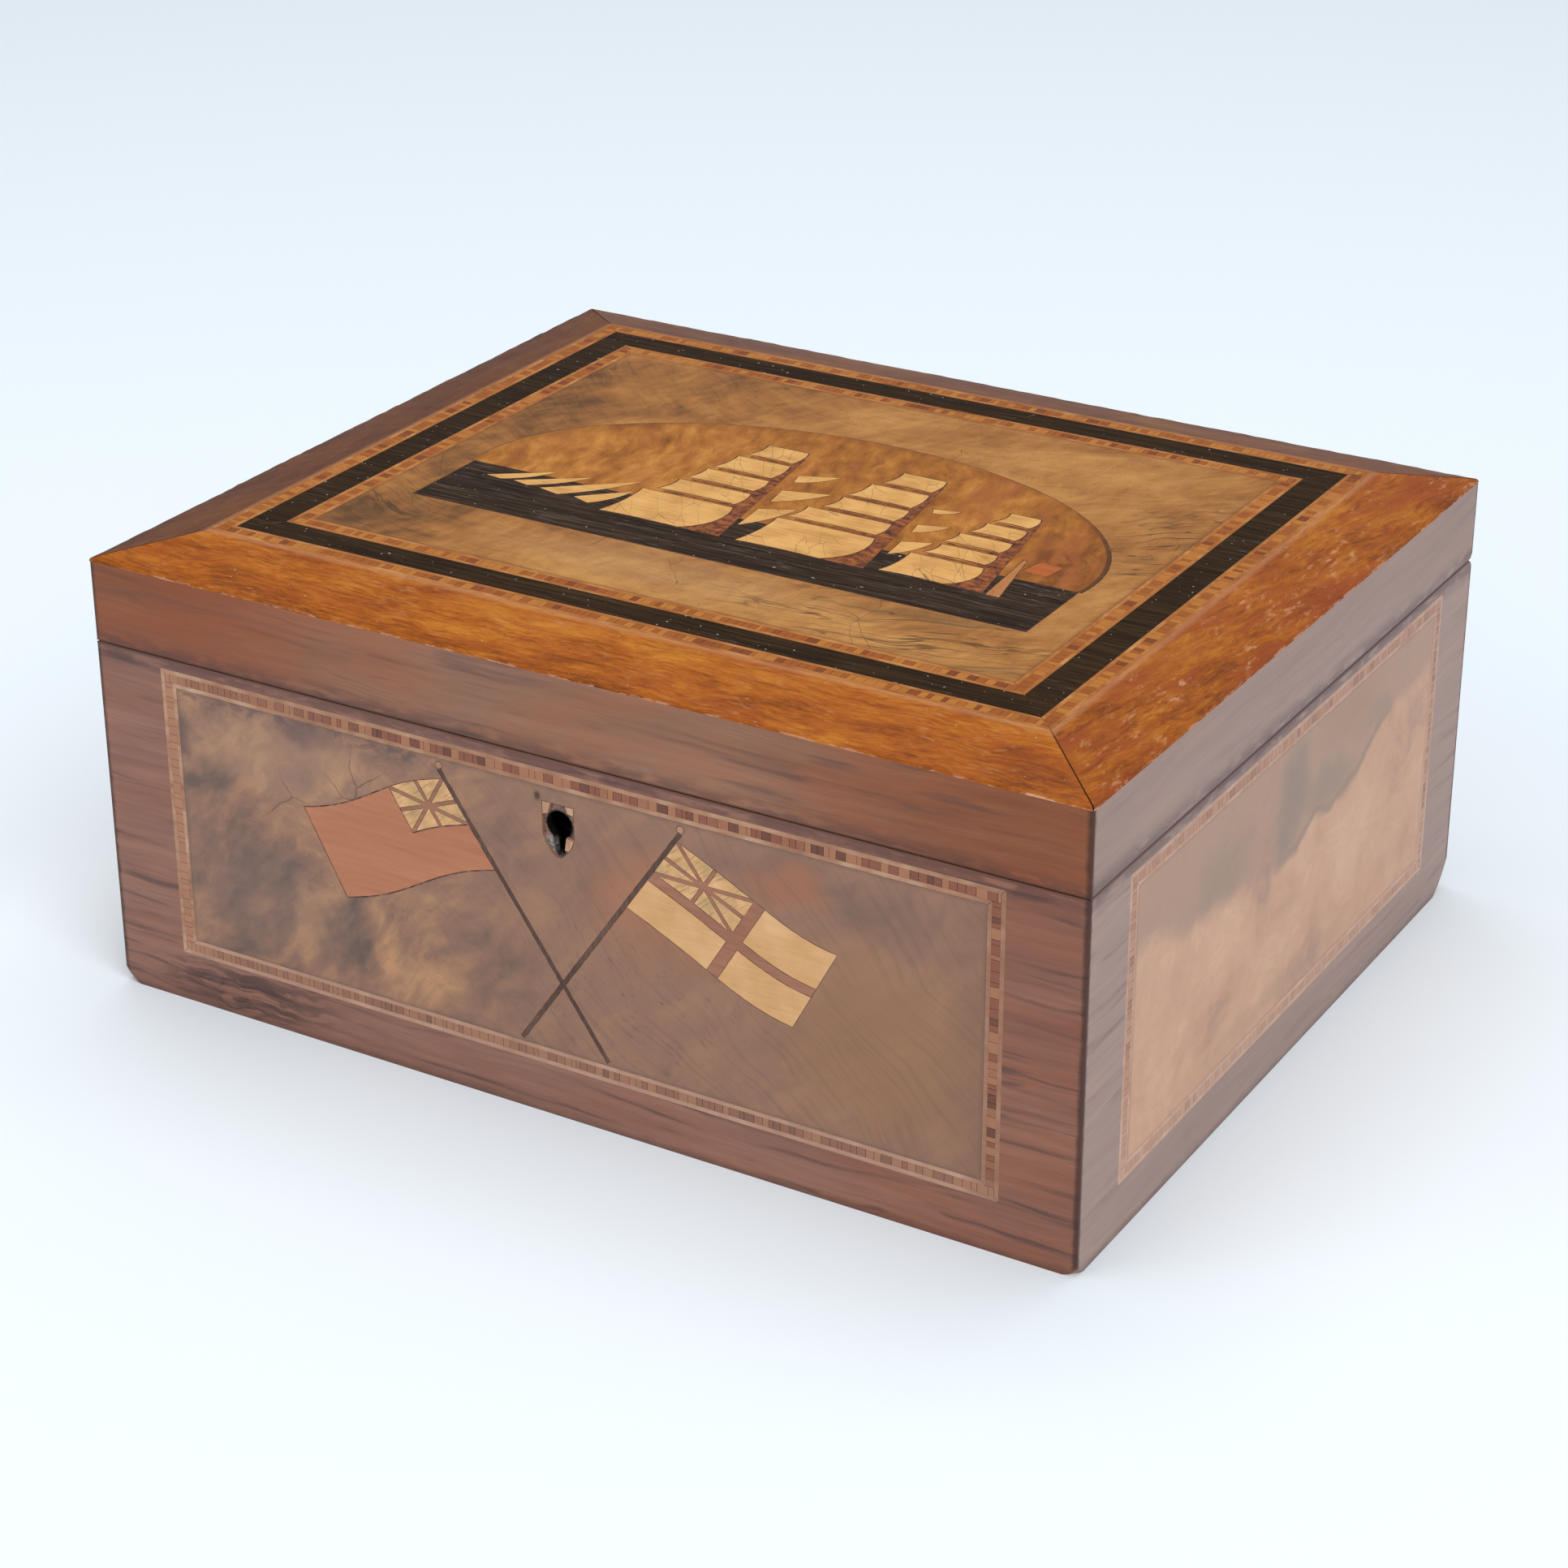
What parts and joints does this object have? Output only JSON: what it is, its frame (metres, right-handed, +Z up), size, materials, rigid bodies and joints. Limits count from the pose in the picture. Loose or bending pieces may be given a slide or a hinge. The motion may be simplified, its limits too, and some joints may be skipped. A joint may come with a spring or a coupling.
{
  "type": "ditty box",
  "caption": "Veneered wooden ditty box with a hinged lid, canted lid margin, box lock, and marquetry of a sailing ship and crossed ensigns.",
  "frame": {"origin": "middle of the underside", "axes": "+X along the front to the right, +Y from the front to the back, +Z up"},
  "size_m": [0.3, 0.244, 0.134],
  "materials": {
    "carcase_pine": "old varnished pine",
    "border_veneer": "dark walnut crossbanding, satin varnish",
    "canted_veneer": "orange-brown rosewood, glossy varnish with scuffs",
    "burr_veneer": "burr walnut, satin varnish",
    "string_wood": "boxwood string, aged",
    "chequer_wood": "chequered mahogany and rosewood blocks",
    "ebony": "ebony, satin",
    "sky_veneer": "figured satinwood, satin varnish",
    "sail_wood": "boxwood, fine age cracks",
    "red_wood": "red-brown padauk, satin varnish",
    "escutcheon_boxwood": "pale boxwood, worn",
    "hinge_brass": "tarnished brass",
    "lock_brass": "tarnished brass",
    "steel": "dull steel"
  },
  "bodies": {
    "base": {"back_board": "carcase_pine", "back_veneer": "border_veneer", "bottom_board": "carcase_pine", "ensign_cantons": "sail_wood", "ensign_crosses": "red_wood", "front_board": "carcase_pine", "front_border_veneer": "border_veneer", "front_chequer_band": "chequer_wood", "front_field_veneer": "burr_veneer", "front_flagstaffs": "ebony", "front_stringing": "string_wood", "hinge_base_screws": "steel", "keyhole_escutcheon": "escutcheon_boxwood", "left_board": "carcase_pine", "left_border_veneer": "border_veneer", "left_chequer_band": "chequer_wood", "left_field_veneer": "burr_veneer", "left_hinge_base_leaf": "hinge_brass", "left_hinge_pin": "steel", "left_stringing": "string_wood", "lock_cap": "lock_brass", "lock_case": "lock_brass", "lock_screws": "steel", "red_ensign_field": "red_wood", "right_board": "carcase_pine", "right_border_veneer": "border_veneer", "right_chequer_band": "chequer_wood", "right_field_veneer": "burr_veneer", "right_hinge_base_leaf": "hinge_brass", "right_hinge_pin": "steel", "right_stringing": "string_wood", "staff_finials": "sail_wood", "white_ensign_panels": "sail_wood"},
    "lid": {"hinge_lid_screws": "steel", "left_hinge_lid_leaf": "hinge_brass", "lid_back_rail": "carcase_pine", "lid_back_veneer": "border_veneer", "lid_canted_border": "canted_veneer", "lid_chequer_bands": "chequer_wood", "lid_ebony_band": "ebony", "lid_field_veneer": "burr_veneer", "lid_front_rail": "carcase_pine", "lid_front_veneer": "border_veneer", "lid_left_rail": "carcase_pine", "lid_left_veneer": "border_veneer", "lid_right_rail": "carcase_pine", "lid_right_veneer": "border_veneer", "lid_sea_veneer": "ebony", "lid_sky_veneer": "sky_veneer", "lid_stringing": "string_wood", "lid_top_board": "carcase_pine", "link_plate": "lock_brass", "link_plate_screws": "steel", "right_hinge_lid_leaf": "hinge_brass", "ship_flag": "red_wood", "ship_headsails": "sail_wood", "ship_masts": "red_wood", "ship_sails": "sail_wood"},
    "lock_bolt": {"lock_bolt": "steel", "bolt_spring": "steel"}
  },
  "joints": [
    {"name": "lid_hinge", "type": "hinge", "parent": "base", "child": "lid", "pos_m": [0, 0.1198, 0.1048], "axis": [-1, 0, 0], "range_deg": [0, 100]},
    {"name": "bolt_slide", "type": "slide", "parent": "base", "child": "lock_bolt", "axis": [1, 0, 0], "range_m": [0, 0.0045]}
  ]
}
